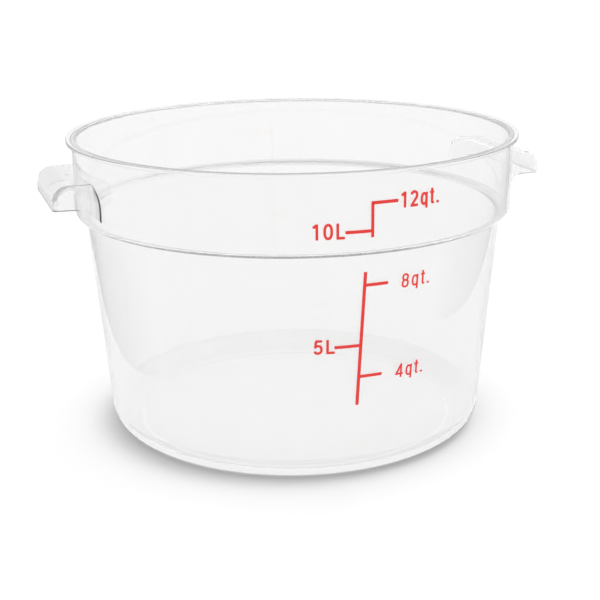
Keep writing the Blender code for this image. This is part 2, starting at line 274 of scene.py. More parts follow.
def rounding_loss(out, radius):
    """How far a quarter round that ends at the lip's front has fallen away at a distance out."""
    into_round = max(out - (HANDLE_FRONT - radius), 0)
    return radius - math.sqrt(max(radius ** 2 - into_round ** 2, 0))


def hood_stations():
    """Distances from the axis of the arches, close together where the lip turns."""
    crest_start = HANDLE_FRONT - HANDLE_CREST_ROUND
    stations = [HANDLE_ROOT - WALL - OVERRUN, HANDLE_ROOT + HANDLE_GUSSET_REACH]
    stations += [HANDLE_ROOT + (crest_start - HANDLE_ROOT) * step / ROOT_STATIONS
                 for step in range(ROOT_STATIONS)]
    for step in range(CREST_STATIONS + 1):
        stations.append(crest_start + HANDLE_CREST_ROUND * math.sin(math.pi / 2 * step / CREST_STATIONS))
    for step in range(1, NOSE_STATIONS):
        angle = math.pi / 2 * step / NOSE_STATIONS
        stations.append(HANDLE_FRONT - HANDLE_NOSE_ROUND * (1 - math.sin(angle)))
    return sorted(set(stations))


# %% Loft, hollow and join the handles
def add_arch(bm, out, inset, foot_drop):
    """A closed loop of an arch across the hood, as edges of the bmesh."""
    half_width = HANDLE_LIP_HALF_WIDTH + HANDLE_SIDE_FLARE * flare(out)
    thinning = (HANDLE_WALL - HANDLE_WALL_AT_ROOT) * flare(out) if inset else 0
    side_inset = inset - thinning
    half_width -= rounding_loss(out, HANDLE_NOSE_ROUND) + side_inset
    corner = HANDLE_LIP_CORNER + (HANDLE_ROOT_CORNER - HANDLE_LIP_CORNER) * flare(out)
    corner = max(corner - side_inset, HANDLE_LEAST_CORNER)
    top = HANDLE_TOP - rounding_loss(out, HANDLE_CREST_ROUND) - inset
    gusset_share = min(max((out - HANDLE_ROOT) / HANDLE_GUSSET_REACH, 0), 1)
    foot = HANDLE_GUSSET_FOOT + HANDLE_GUSSET_DROP * gusset_share - foot_drop
    right = [(half_width, foot)]
    for step in range(ARCH_CORNER_STEPS + 1):
        angle = math.pi / 2 * step / ARCH_CORNER_STEPS
        right.append((half_width - corner + corner * math.cos(angle),
                      top - corner + corner * math.sin(angle)))
    points = right + [(-across, height) for across, height in reversed(right)]
    verts = [bm.verts.new((out - inset, across, height)) for across, height in points]
    return [bm.edges.new(pair) for pair in zip(verts, verts[1:] + verts[:1])]


def loft_hood(name, inset, foot_drop, turn):
    """A closed solid through all the arches, turned to its side of the tub."""
    bm = bmesh.new()
    loops = [add_arch(bm, out, inset, foot_drop) for out in hood_stations()]
    for first, second in zip(loops, loops[1:]):
        bmesh.ops.bridge_loops(bm, edges=first + second)
    bmesh.ops.contextual_create(bm, geom=loops[0])
    bmesh.ops.contextual_create(bm, geom=loops[-1])
    bmesh.ops.recalc_face_normals(bm, faces=bm.faces)
    bmesh.ops.rotate(bm, verts=bm.verts, cent=(0, 0, 0), matrix=Matrix.Rotation(turn, 3, 'Z'))
    return new_object(name, bm)


def plug_for_inside():
    """A round plug up to the middle of the collar's wall."""
    bm = bmesh.new()
    radius = COLLAR_BASE_RADIUS - WALL / 2
    place = Matrix.Translation((0, 0, (HANDLE_TOP + HANDLE_GUSSET_FOOT) / 2))
    bmesh.ops.create_cone(bm, cap_ends=True, segments=RING_STEPS, radius1=radius, radius2=radius,
                          depth=HANDLE_DEPTH + HANDLE_GUSSET_DROP + 2 * OVERRUN, matrix=place)
    return new_object("plug", bm)


def combine(obj, tool, operation):
    """Cut or join with the exact solver, then clear the tool away."""
    modifier = obj.modifiers.new("combine", 'BOOLEAN')
    modifier.operation = operation
    modifier.solver = 'EXACT'
    modifier.object = tool
    bake_modifiers(obj)
    bpy.data.objects.remove(tool)


for turn in (0, math.pi):
    hood = loft_hood("hood", 0, 0, turn)
    combine(hood, loft_hood("hollow", HANDLE_WALL, HANDLE_GUSSET_DROP + OVERRUN, turn), 'DIFFERENCE')
    combine(hood, plug_for_inside(), 'DIFFERENCE')
    combine(moulding, hood, 'UNION')
print("with handles", in_mm(moulding), "mm,", len(moulding.data.polygons), "faces")

# %% [markdown]
# ## Gate spots
#
# Plastic enters a mould through small gates, and each leaves a little round spot. The photograph shows
# one on top of the near handle, close to the collar. A short disc with a softened edge is enough.

# %% Gate spots
GATE_SPOT_RADIUS = 0.0011
GATE_SPOT_HEIGHT = 0.0004
GATE_SPOT_EDGE = 0.0002
GATE_SPOT_FROM_COLLAR = 0.0058


def gate_spot(turn):
    """A disc half sunk in the top of a handle, its upper edge rounded."""
    bm = bmesh.new()
    depth = GATE_SPOT_HEIGHT + HANDLE_WALL / 2
    bmesh.ops.create_cone(bm, cap_ends=True, segments=32, radius1=GATE_SPOT_RADIUS,
                          radius2=GATE_SPOT_RADIUS, depth=depth)
    upper = [edge for edge in bm.edges if all(vert.co.z > 0 for vert in edge.verts)]
    bmesh.ops.bevel(bm, geom=upper, offset=GATE_SPOT_EDGE, offset_type='OFFSET', segments=3,
                    profile=0.5, affect='EDGES', material=-1)
    centre = Vector((collar_radius(HANDLE_TOP) + GATE_SPOT_FROM_COLLAR, 0,
                     HANDLE_TOP + GATE_SPOT_HEIGHT - depth / 2))
    bmesh.ops.translate(bm, verts=bm.verts, vec=centre)
    bmesh.ops.rotate(bm, verts=bm.verts, cent=(0, 0, 0), matrix=Matrix.Rotation(turn, 3, 'Z'))
    return new_object("gate_spot", bm)


for turn in (0, math.pi):
    combine(moulding, gate_spot(turn), 'UNION')
smooth(moulding)
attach(moulding, "root")
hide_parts("container")
print("moulding", in_mm(moulding), "mm,", len(moulding.data.polygons), "faces")

# %% [markdown]
# ## The printed scales and figures
#
# The print is two upright lines with ticks, and a figure beside each tick that names its level. All of
# it is drawn with one tool, a stroke: a flat ribbon of even width along a row of points. A stencil
# cutter thinks in the same way, so each figure is only a few straight and oval strokes. Strokes that
# touch are joined into one film, the film is cut into narrow upright strips, and only then wrapped:
# across becomes an angle, up stays up, and the wall's radius at that height sets the distance from
# the axis.

# %% Sizes of the print
SEAT_GAP = 0.0003
INK_THICKNESS = 0.0003
INK_STRIP = 0.0015
STROKE_END_ROUND = 0.22
OVAL_STEP = 12
OVAL_SQUARENESS = 0.86
COLLAR_LINE_WIDTH = 0.0019
BODY_LINE_WIDTH = 0.0021
TICK_WIDTH = 0.0020
RIGHT_TICK_ON_COLLAR = 0.0167
LEFT_TICK = 0.0171
RIGHT_TICK_ON_BODY = 0.0158
COLLAR_SCALE_DEGREES = -0.1
BODY_SCALE_TOP_DEGREES = -0.6
BODY_SCALE_FOOT_DEGREES = -1.7
COLLAR_SCALE_FOOT = 0.1661
TWELVE_QUARTS = 0.1873
TEN_LITRES = 0.1702
BODY_SCALE_TOP = 0.1424
BODY_SCALE_FOOT = 0.0525
EIGHT_QUARTS = 0.1337
FIVE_LITRES = 0.0937
FOUR_QUARTS = 0.0722


# %% A stroke of ink
def oval(centre_x, centre_y, reach_x, reach_y, first, last):
    """Points on a slightly squared oval, from one angle in degrees to another."""
    steps = math.ceil(abs(last - first) / OVAL_STEP)
    points = []
    for step in range(steps + 1):
        angle = math.radians(first + (last - first) * step / steps)
        across, up = math.cos(angle), math.sin(angle)
        points.append((centre_x + reach_x * math.copysign(abs(across) ** OVAL_SQUARENESS, across),
                       centre_y + reach_y * math.copysign(abs(up) ** OVAL_SQUARENESS, up)))
    return points


def add_stroke(points, width):
    """A thin solid ribbon along the points; it closes on itself where the last point is the first."""
    points = [Vector(point) for point in points]
    closed = (points[0] - points[-1]).length < MERGE
    if closed:
        points.pop()
    bm = bmesh.new()
    sides = ([], [])
    for place, point in enumerate(points):
        ways = []
        if closed or place > 0:
            ways.append((point - points[place - 1]).normalized())
        if closed or place < len(points) - 1:
            ways.append((points[(place + 1) % len(points)] - point).normalized())
        way = sum(ways, Vector((0, 0))).normalized()
        reach = Vector((-way.y, way.x)) * width / 2 / way.dot(ways[0])
        for side, edge_point in zip(sides, (point - reach, point + reach)):
            side.append(bm.verts.new((edge_point.x, edge_point.y, 0)))
    ends = [verts[place] for verts in sides for place in (0, -1)]
    edges = []
    for verts in sides:
        following = verts[1:] + verts[:1] if closed else verts[1:]
        edges += [bm.edges.new(pair) for pair in zip(verts, following)]
    bmesh.ops.bridge_loops(bm, edges=edges)
    if not closed:
        bmesh.ops.bevel(bm, geom=ends, offset=width * STROKE_END_ROUND, offset_type='OFFSET', segments=2,
                        profile=0.5, affect='VERTICES', material=-1)
    raised = bmesh.ops.extrude_face_region(bm, geom=bm.faces[:], use_keep_orig=True)
    top = [item for item in raised["geom"] if isinstance(item, bmesh.types.BMVert)]
    bmesh.ops.translate(bm, verts=top, vec=(0, 0, INK_THICKNESS))
    bmesh.ops.recalc_face_normals(bm, faces=bm.faces)
    return new_object("stroke", bm)


# %% Join the strokes and wrap them round the wall
def add_print(name, strokes, wall_radius, line_degrees, node=None):
    """One film of ink from (points, width) strokes, whose middle line stands at an angle for each height."""
    film = add_stroke(*strokes[0])
    for stroke in strokes[1:]:
        combine(film, add_stroke(*stroke), 'UNION')
    bm = bmesh.new()
    bm.from_mesh(film.data)
    bmesh.ops.remove_doubles(bm, verts=bm.verts, dist=MERGE)
    left = min(vert.co.x for vert in bm.verts)
    width = max(vert.co.x for vert in bm.verts) - left
    strips = math.ceil(width / INK_STRIP)
    for strip in range(1, strips):
        bmesh.ops.bisect_plane(bm, geom=bm.verts[:] + bm.edges[:] + bm.faces[:], dist=MERGE,
                               plane_co=(left + width * strip / strips, 0, 0), plane_no=(1, 0, 0))
    bmesh.ops.recalc_face_normals(bm, faces=bm.faces)
    for vert in bm.verts:
        across, height, off = vert.co
        angle = math.radians(line_degrees(height)) + across / wall_radius(height)
        distance = wall_radius(height) + SEAT_GAP + off
        vert.co = (distance * math.sin(angle), -distance * math.cos(angle), height)
    bpy.data.objects.remove(film)
    printed = new_object(name, bm)
    printed.data.set_sharp_from_angle(angle=SMOOTH_ANGLE)
    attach(printed, "root")
    if node:
        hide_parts(node)
    print(name, in_mm(printed), "mm,", len(printed.data.polygons), "faces")
    return printed


# %% The two scales
def tick(height, to):
    """A level stroke from the scale's line to one side."""
    return [(0, height), (to, height)], TICK_WIDTH


def collar_line_degrees(height):
    """The line on the collar stands upright."""
    return COLLAR_SCALE_DEGREES


def body_line_degrees(height):
    """The line on the body leans a little, as it was printed."""
    share = (height - BODY_SCALE_FOOT) / (BODY_SCALE_TOP - BODY_SCALE_FOOT)
    return BODY_SCALE_FOOT_DEGREES + (BODY_SCALE_TOP_DEGREES - BODY_SCALE_FOOT_DEGREES) * share


printed_pieces = [
    add_print("scale_on_collar", [
        ([(0, COLLAR_SCALE_FOOT), (0, TWELVE_QUARTS + TICK_WIDTH / 2)], COLLAR_LINE_WIDTH),
        tick(TWELVE_QUARTS, RIGHT_TICK_ON_COLLAR), tick(TEN_LITRES, -LEFT_TICK),
    ], collar_radius, collar_line_degrees, "collar_scale"),
    add_print("scale_on_body", [
        ([(0, BODY_SCALE_FOOT), (0, BODY_SCALE_TOP)], BODY_LINE_WIDTH),
        tick(EIGHT_QUARTS, RIGHT_TICK_ON_BODY), tick(FOUR_QUARTS, RIGHT_TICK_ON_BODY),
        tick(FIVE_LITRES, -LEFT_TICK),
    ], body_radius, body_line_degrees, "body_scale"),
]

# %% [markdown]
# ## Figures drawn with strokes
#
# Each figure lies in a box one unit high: its width, then the middle lines of its strokes. The figures
# are a plain narrow grotesque, as on a ruler. The two on the right of the body are printed lighter.

# %% The strokes of each figure
FIGURE_GAP = 0.20
BOLD = 0.164
LIGHT = 0.124
FIGURE_STROKES = {
    "0": (0.56, [oval(0.28, 0.50, 0.205, 0.425, 0, 360)]),
    "1": (0.44, [[(0.265, 0), (0.265, 1)], [(0.02, 0.800), (0.13, 0.825), (0.245, 0.945)]]),
    "2": (0.54, [oval(0.27, 0.70, 0.195, 0.225, 168, -38) + [(0.105, 0.10)], [(0.02, 0.075), (0.54, 0.075)]]),
    "4": (0.56, [[(0.41, 0), (0.41, 1)], [(0.40, 0.93), (0.06, 0.27)], [(0, 0.27), (0.56, 0.27)]]),
    "5": (0.54, [[(0.12, 0.925), (0.50, 0.925)], [(0.15, 0.96), (0.105, 0.44)],
                 oval(0.26, 0.335, 0.205, 0.26, 142, -158)]),
    "8": (0.54, [oval(0.27, 0.7275, 0.175, 0.1975, 0, 360), oval(0.27, 0.3025, 0.195, 0.2275, 0, 360)]),
    "L": (0.50, [[(0.075, 1), (0.075, 0)], [(0, 0.075), (0.50, 0.075)]]),
    "q": (0.50, [oval(0.25, 0.40, 0.175, 0.325, 0, 360), [(0.425, 0.80), (0.425, -0.20)]]),
    "t": (0.30, [[(0.15, 1)] + oval(0.24, 0.165, 0.09, 0.09, 180, 270) + [(0.30, 0.075)],
                 [(0, 0.735), (0.30, 0.735)]]),
    ".": (0.18, [[(0, 0.085), (0.18, 0.085)]]),
}
FIGURES = [
    ("figures_12_quarts", "12qt.", 6.9, 17.4, 0.1823, 0.0099, BOLD, collar_radius),
    ("figures_10_litres", "10L", -14.0, -6.6, 0.1663, 0.0099, BOLD, collar_radius),
    ("figures_8_quarts", "8qt.", 9.4, 18.0, 0.1285, 0.0096, LIGHT, body_radius),
    ("figures_5_litres", "5L", -13.5, -8.0, 0.0897, 0.0096, BOLD, body_radius),
    ("figures_4_quarts", "4qt.", 9.2, 18.1, 0.0671, 0.0096, LIGHT, body_radius),
]


# %% Set the figures
def add_figures(name, text, first_degrees, last_degrees, base, cap_height, weight, wall_radius):
    """Set a text between two angles on a base line, in strokes of one weight."""
    stroke_width = weight * cap_height
    natural = sum(FIGURE_STROKES[letter][0] for letter in text) + FIGURE_GAP * (len(text) - 1)
    wanted = wall_radius(base) * math.radians(last_degrees - first_degrees)
    cursor = 0
    strokes = []
    for letter in text:
        width, lines = FIGURE_STROKES[letter]
        for line in lines:
            points = [(((cursor + across) / natural - 1 / 2) * wanted, base + up * cap_height)
                      for across, up in line]
            strokes.append((points, stroke_width))
        cursor += width + FIGURE_GAP
    middle = (first_degrees + last_degrees) / 2
    return add_print(name, strokes, wall_radius, lambda height: middle)


printed_pieces += [add_figures(*row) for row in FIGURES]

# %% [markdown]
# ## Writing shader maths as sums
#
# Node trees for a finish soon fill with small Math nodes. A class that wraps a socket and overloads
# plus, minus and times lets the maths be written as a sum, and one method adds every other node:
# it takes the node's type, its settings and the values or links of its sockets. The short methods
# after it name what the finishes below need most: a straight run, a mask that rises or falls, one part
# of a vector, and how far it reaches along a way.

# %% A socket that can be added and multiplied
class Signal:
    """A socket of a node tree; sums and products with it add Math nodes."""

    def __init__(self, nodes, socket):
        self.nodes = nodes
        self.socket = socket

    def _math(self, operation, first, second):
        return self.nodes.add('ShaderNodeMath', {"operation": operation}, {0: first, 1: second})

    def __add__(self, other):
        return self._math('ADD', self, other)

    def __sub__(self, other):
        return self._math('SUBTRACT', self, other)

    def __rsub__(self, other):
        return self._math('SUBTRACT', other, self)

    def __mul__(self, other):
        return self._math('MULTIPLY', self, other)

    __radd__ = __add__
    __rmul__ = __mul__


# %% A node tree that grows by one method
class Nodes:
    """A node tree, and the one method that adds any node to it."""

    def __init__(self, owner):
        owner.use_nodes = True
        self.tree = owner.node_tree
        self.tree.nodes.clear()

    def add(self, kind, settings=None, inputs=None, output=0):
        """Add a node: its settings first, then the values or links of its sockets."""
        node = self.tree.nodes.new(kind)
        for name, value in (settings or {}).items():
            setattr(node, name, value)
        for name, value in (inputs or {}).items():
            if isinstance(value, Signal):
                self.tree.links.new(value.socket, node.inputs[name])
            else:
                node.inputs[name].default_value = value
        return Signal(self, node.outputs[output]) if node.outputs else node

    def ramp(self, value, first, last):
        """A straight run between two (place, result) pairs, level beyond them."""
        (start, from_result), (stop, to_result) = first, last
        return self.add('ShaderNodeMapRange', {}, {
            "Value": value, "From Min": start, "From Max": stop, "To Min": from_result, "To Max": to_result})

    def rise(self, value, span, base=0):
        """A mask that rises from 0 to 1 over a span, which is counted from a base."""
        return self.ramp(value, (base + span[0], 0.0), (base + span[1], 1.0))

    def fall(self, value, span, base=0):
        """A mask that falls from 1 to 0 over a span, which is counted from a base."""
        return self.ramp(value, (base + span[0], 1.0), (base + span[1], 0.0))

    def part(self, vector, axis):
        """One part of a vector: 0 is X, 1 is Y and 2 is Z."""
        return self.add('ShaderNodeSeparateXYZ', {}, {"Vector": vector}, output=axis)

    def along(self, vector, way):
        """How far a vector reaches along a way."""
        return self.add('ShaderNodeVectorMath', {"operation": 'DOT_PRODUCT'}, {0: vector, 1: way}, output=1)


# %% [markdown]
# ## Where a point lies on the tub
#
# The plastic doesn't look the same all over: the floor, the step and the handles are a little milkier,
# and a few places have fine dark lines of painted shade. Painted masks would need a map of the skin.
# Here every mask is worked out instead, from where a point lies on the tub and which way its face looks,
# so it is right from any side. Each span is a pair: where the mask starts to change and where it has changed.

# %% Where a point lies on the tub
LEVEL_FACES = (0.90, 0.99)
END_WALLS = (0.010, 0.014)
HANDLE_SKIN = (0.0007, 0.0025)
BELOW_RIM = (-0.005, -0.004)
RIGHT_SIDE = (0.10, 0.11)
FOOT_END = (0.0150, 0.0154)


class TubPoint:
    """A point of the tub's skin: its place, the way it faces, and the masks that follow from these."""

    def __init__(self, nodes):
        self.place = nodes.add('ShaderNodeTexCoord', output=3)
        self.height = nodes.part(self.place, 2)
        flat_place = nodes.add('ShaderNodeVectorMath', {"operation": 'MULTIPLY'}, {
            0: self.place, 1: (1, 1, 0)})
        self.from_axis = nodes.add('ShaderNodeVectorMath', {"operation": 'LENGTH'}, {0: flat_place}, output=1)
        normal = nodes.add('ShaderNodeNewGeometry', output=1)
        self.upward = nodes.part(normal, 2)
        self.level = nodes.rise(self.upward * self.upward, LEVEL_FACES)
        self.end_wall = nodes.rise(nodes.part(self.place, 1) * nodes.part(normal, 1), END_WALLS)
        self.handle = (nodes.rise(self.from_axis, HANDLE_SKIN, COLLAR_TOP_RADIUS)
                       * nodes.fall(self.height, BELOW_RIM, rim_underside))
        # The right handle, kept paler than the left as painted light from the right.
        self.paler_right_handle = self.handle * nodes.rise(nodes.part(self.place, 0), RIGHT_SIDE)
        self.foot = nodes.fall(self.height, FOOT_END)


# %% [markdown]
# ## Clear plastic
#
# Polished plastic is one Principled shader with full transmission and the index of polycarbonate. Its
# gloss isn't quite even: flow in the mould leaves the faintest waves. Where light would be caught
# between the many curved faces at the foot, a ray tracer draws dark rings that the real tub doesn't
# show, and the right handle comes out too dark from trapped light in the same way. There the polished
# plastic gives way to a still one, which hardly bends light. The right handle is also kept paler than
# the left as painted light, for light that falls on it from the right: it is calmer, gets less milk and
# has fainter painted shade lines.

# %% Polished and still plastic
PLASTIC_INDEX = 1.585
STILL_INDEX = 1.02
PLASTIC_TINT = (0.984, 0.985, 0.983, 1)
POLISH = 0.012
HAZE = 0.02
HAZE_SCALE = 38.0
WAVE_SCALE = 26.0
WAVE_STRENGTH = 0.03
WAVE_DEPTH = 0.002
CALM_AT_FOOT = 0.99
CALM_ON_RIGHT_HANDLE = 0.92


def bare_plastic(nodes, point):
    """Polished plastic, which gives way to still plastic at the foot and on the right handle."""
    haze = nodes.add('ShaderNodeTexNoise', {}, {"Vector": point.place, "Scale": HAZE_SCALE, "Detail": 3.0})
    waves = nodes.add('ShaderNodeTexNoise', {}, {"Vector": point.place, "Scale": WAVE_SCALE, "Detail": 1.0})
    unevenness = nodes.add('ShaderNodeBump', {}, {
        "Strength": WAVE_STRENGTH, "Distance": WAVE_DEPTH, "Height": waves})
    polished = nodes.add('ShaderNodeBsdfPrincipled', {}, {
        "Base Color": PLASTIC_TINT, "IOR": PLASTIC_INDEX, "Transmission Weight": 1.0,
        "Roughness": POLISH + haze * HAZE, "Normal": unevenness})
    still = nodes.add('ShaderNodeBsdfPrincipled', {}, {
        "Base Color": PLASTIC_TINT, "IOR": STILL_INDEX, "Transmission Weight": 1.0, "Roughness": POLISH})
    calm = point.foot * CALM_AT_FOOT + point.paler_right_handle * CALM_ON_RIGHT_HANDLE
    return nodes.add('ShaderNodeMixShader', {}, {"Fac": calm, 1: polished, 2: still})


# %% [markdown]
# Milk is a small share of plain white in the clear, part of it shining through. There is a trace of it
# everywhere, in faint upright streaks and where a wall is seen at a slant, and more on the foot, on the
# step's ledge, on the handles and at their roots. Under the little step inside the foot ring there is
# none, or it would draw a grey ring.

# %% A little milk
MILK_TINT = (0.93, 0.93, 0.93, 1)
MILK_LET_THROUGH = 0.25
MILK_SHARE = 0.035
MILK_STREAKS = 0.040
STREAK_SCALE = 30.0
STREAK_STRETCH = 0.12
MILK_AT_EDGE = 0.05
MILK_AT_FOOT = 0.055
MILK_ON_LEDGE = 0.40
LEDGE_START = (-0.0040, -0.0030)
LEDGE_END = (0.0010, 0.0020)
LEDGE_FACES = (0.1, 0.5)
MILK_ON_HANDLES = 0.13
LESS_MILK_ON_RIGHT = 0.60
MILK_AT_ROOT = 0.60
ROOT_START = (0.0005, 0.0007)
ROOT_END = (0.0030, 0.0050)
ROOT_TOP = (-0.0100, -0.0040)
RING_STEP_TOP = (0.0001, 0.0003)
RING_STEP_START = (-0.0020, -0.0016)
RING_STEP_END = (0.0004, 0.0008)


def with_milk(nodes, point, plastic):
    """The plastic with its share of milk."""
    slant = nodes.add('ShaderNodeLayerWeight', {}, {"Blend": 0.5}, output=1)
    upright = nodes.add('ShaderNodeMapping', {}, {"Vector": point.place, "Scale": (1.0, 1.0, STREAK_STRETCH)})
    streaks = nodes.add('ShaderNodeTexNoise', {}, {"Vector": upright, "Scale": STREAK_SCALE, "Detail": 2.0})
    front_milk = nodes.add('ShaderNodeBsdfDiffuse', {}, {"Color": MILK_TINT})
    back_milk = nodes.add('ShaderNodeBsdfTranslucent', {}, {"Color": MILK_TINT})
    milk = nodes.add('ShaderNodeMixShader', {}, {"Fac": MILK_LET_THROUGH, 1: front_milk, 2: back_milk})
    on_ledge = (nodes.rise(point.height, LEDGE_START, ledge) * nodes.fall(point.height, LEDGE_END, ledge)
                * nodes.rise(point.upward, LEDGE_FACES))
    by_root = (nodes.rise(point.from_axis, ROOT_START, COLLAR_TOP_RADIUS)
               * nodes.fall(point.from_axis, ROOT_END, COLLAR_TOP_RADIUS)
               * nodes.fall(point.height, ROOT_TOP, HANDLE_TOP) * point.end_wall)
    ring_step = (nodes.fall(point.height, RING_STEP_TOP, FLOOR_LIFT)
                 * nodes.rise(point.from_axis, RING_STEP_START, ring_inner)
                 * nodes.fall(point.from_axis, RING_STEP_END, ring_inner))
    share = (MILK_SHARE + streaks * MILK_STREAKS + slant * MILK_AT_EDGE + point.foot * MILK_AT_FOOT
             + on_ledge * MILK_ON_LEDGE + point.handle * MILK_ON_HANDLES + by_root * MILK_AT_ROOT)
    # Less milk on the right handle makes it paler: painted light, as if light falls on it from the right.
    share = share * (1 - point.paler_right_handle * LESS_MILK_ON_RIGHT) * (1 - ring_step)
    return nodes.add('ShaderNodeMixShader', {}, {"Fac": share, 1: plastic, 2: milk})


# %% [markdown]
# Two fine dark lines are painted shade, for light that is lost in a sharp inner corner: one where a
# handle's end wall runs into the collar, and a fainter one along the handle's lip. The corners are
# modelled, but the rays that make the lines are too few to draw them evenly, so they are painted on the skin.

# %% Fine lines of painted shade
SHADE_LINE_TINT = (0.02, 0.02, 0.02, 1)
ROOT_LINE_START = (0.0001, 0.0002)
ROOT_LINE_END = (0.0005, 0.0006)
ROOT_LINE_TOP = (-0.0050, -0.0025)
LIP_LINE_START = (0.0090, 0.0100)
LIP_LINE_TOP = (0.0004, 0.0006)
LIP_LINE_SHARE = 0.50
LESS_LINE_ON_RIGHT = 0.60


def with_shade_lines(nodes, point, plastic):
    """The plastic with painted shade: dark lines at the handles' roots and lips."""
    at_root = (nodes.rise(point.from_axis, ROOT_LINE_START, COLLAR_TOP_RADIUS)
               * nodes.fall(point.from_axis, ROOT_LINE_END, COLLAR_TOP_RADIUS)
               * nodes.fall(point.height, ROOT_LINE_TOP, HANDLE_TOP) * point.end_wall)
    at_lip = (nodes.rise(point.from_axis, LIP_LINE_START, COLLAR_TOP_RADIUS)
              * nodes.fall(point.height, LIP_LINE_TOP, HANDLE_LIP_HEIGHT) * (1 - point.level))
    # A near-black matte stands in for the lost light: painted shade.
    lost = nodes.add('ShaderNodeBsdfDiffuse', {}, {"Color": SHADE_LINE_TINT})
    # The lip line is fainter on the right handle: painted light, as if light falls on it from the right.
    share = at_root + at_lip * LIP_LINE_SHARE * (1 - point.paler_right_handle * LESS_LINE_ON_RIGHT)
    return nodes.add('ShaderNodeMixShader', {}, {"Fac": share, 1: plastic, 2: lost})


# %% [markdown]
# Light that reaches the floor through a real tub is bent on its way, and a ray tracer would need a very
# long time for its shadow. Rays that ask for shadow, and soft rays from matte surfaces, see a simple
# see-through skin instead, with a dark foot that drops the thin contact shadow of the photograph.

# %% The skin that shadow rays see
WALL_SHADE_TINT = (0.975, 0.975, 0.975, 1)
FOOT_SHADE_TINT = (0.02, 0.02, 0.02, 1)
FOOT_SHADE_HEIGHT = (0.0, 0.034)
FOOT_SHADE_SHARE = 0.56


def simple_skin(nodes, point):
    """Plain see-through walls that grow dark towards the foot."""
    see_through = nodes.add('ShaderNodeBsdfTransparent', {}, {"Color": WALL_SHADE_TINT})
    dark = nodes.add('ShaderNodeBsdfDiffuse', {}, {"Color": FOOT_SHADE_TINT})
    share = nodes.fall(point.height, FOOT_SHADE_HEIGHT) * (1 - point.level) * FOOT_SHADE_SHARE
    return nodes.add('ShaderNodeMixShader', {}, {"Fac": share, 1: see_through, 2: dark})


# %% Put the clear plastic together
def clear_plastic():
    """Clear, polished plastic with a little milk and fine lines of painted shade, and a simple skin for
    shadows.
    """
    material = bpy.data.materials.new("clear_plastic")
    nodes = Nodes(material)
    point = TubPoint(nodes)
    seen = with_shade_lines(nodes, point, with_milk(nodes, point, bare_plastic(nodes, point)))
    from_lamp = nodes.add('ShaderNodeLightPath', output=1)
    from_matte = nodes.add('ShaderNodeLightPath', output=2)
    finish = nodes.add('ShaderNodeMixShader', {}, {
        "Fac": from_lamp + from_matte, 1: seen, 2: simple_skin(nodes, point)})
    nodes.add('ShaderNodeOutputMaterial', {}, {"Surface": finish})
    return material


def set_finish(obj, material):
    """Give an object one material."""
    obj.data.materials.clear()
    obj.data.materials.append(material)
    print(obj.name, "has", material.name, "with", len(material.node_tree.nodes), "nodes")


set_finish(moulding, clear_plastic())

# %% [markdown]
# ## Red ink
#
# Screen-printed ink is opaque and satin. Through a magnifier its colour is slightly uneven, because
# the film is thin, and its face shows the mesh of the screen as a faint grain.

# %% Red ink
INK_RED = (0.80, 0.026, 0.020, 1)
INK_RED_THIN = (0.84, 0.050, 0.040, 1)
INK_INDEX = 1.47
INK_SHINE = 0.35
INK_ROUGHNESS = 0.36
FILM_ROUGHNESS = 0.12
FILM_SCALE = 420.0
GRAIN_SCALE = 2600.0
GRAIN_STRENGTH = 0.15
GRAIN_DEPTH = 0.00005


def red_ink():
    """Opaque satin ink with a slightly uneven film."""
    material = bpy.data.materials.new("red_ink")
    nodes = Nodes(material)
    place = nodes.add('ShaderNodeTexCoord', output=3)
    film = nodes.add('ShaderNodeTexNoise', {}, {"Vector": place, "Scale": FILM_SCALE, "Detail": 3.0})
    grain = nodes.add('ShaderNodeTexNoise', {}, {"Vector": place, "Scale": GRAIN_SCALE, "Detail": 1.0})
    color = nodes.add('ShaderNodeMix', {"data_type": 'RGBA'}, {
        0: film, 6: INK_RED, 7: INK_RED_THIN}, output=2)
    bump = nodes.add('ShaderNodeBump', {}, {
        "Strength": GRAIN_STRENGTH, "Distance": GRAIN_DEPTH, "Height": grain})
    ink = nodes.add('ShaderNodeBsdfPrincipled', {}, {
        "Base Color": color, "Roughness": INK_ROUGHNESS + film * FILM_ROUGHNESS, "Normal": bump,
        "IOR": INK_INDEX, "Specular IOR Level": INK_SHINE})
    nodes.add('ShaderNodeOutputMaterial', {}, {"Surface": ink})
    return material


ink_finish = red_ink()
for piece in printed_pieces:
    set_finish(piece, ink_finish)

# %% [markdown]
# ## Floor
#
# The photograph has a pure white ground with a thin contact shadow at the foot, and the shadow doesn't
# show through the tub. So the floor is white paint for the eye, and for rays that come through or off
# the plastic it is a table lit from below.

# %% Floor
FLOOR_REACH = 30.0
FLOOR_GAP = 0.0003
FLOOR_ROUGHNESS = 0.9
MOTTLE_SCALE = 3.0
MOTTLE_SPAN = (0.3, 0.7)
PAINT_TONES = (0.93, 0.95)
TABLE_GLOW = 0.98
TABLE_SHARE = 0.90


def white_floor():
    """White paint, and a table lit from below for rays that the plastic sends down."""
    material = bpy.data.materials.new("white_floor")
    nodes = Nodes(material)
    place = nodes.add('ShaderNodeTexCoord', output=3)
    mottle = nodes.add('ShaderNodeTexNoise', {}, {"Vector": place, "Scale": MOTTLE_SCALE})
    color = nodes.ramp(mottle, *zip(MOTTLE_SPAN, PAINT_TONES))
    paint = nodes.add('ShaderNodeBsdfPrincipled', {}, {
        "Base Color": color, "Roughness": FLOOR_ROUGHNESS, "Specular IOR Level": 0.0})
    lit_from_below = nodes.add('ShaderNodeEmission', {}, {"Strength": TABLE_GLOW})
    mirrored = nodes.add('ShaderNodeLightPath', output=3)
    through_plastic = nodes.add('ShaderNodeLightPath', output=6)
    face = nodes.add('ShaderNodeMixShader', {}, {
        "Fac": (mirrored + through_plastic) * TABLE_SHARE, 1: paint, 2: lit_from_below})
    nodes.add('ShaderNodeOutputMaterial', {}, {"Surface": face})
    return material


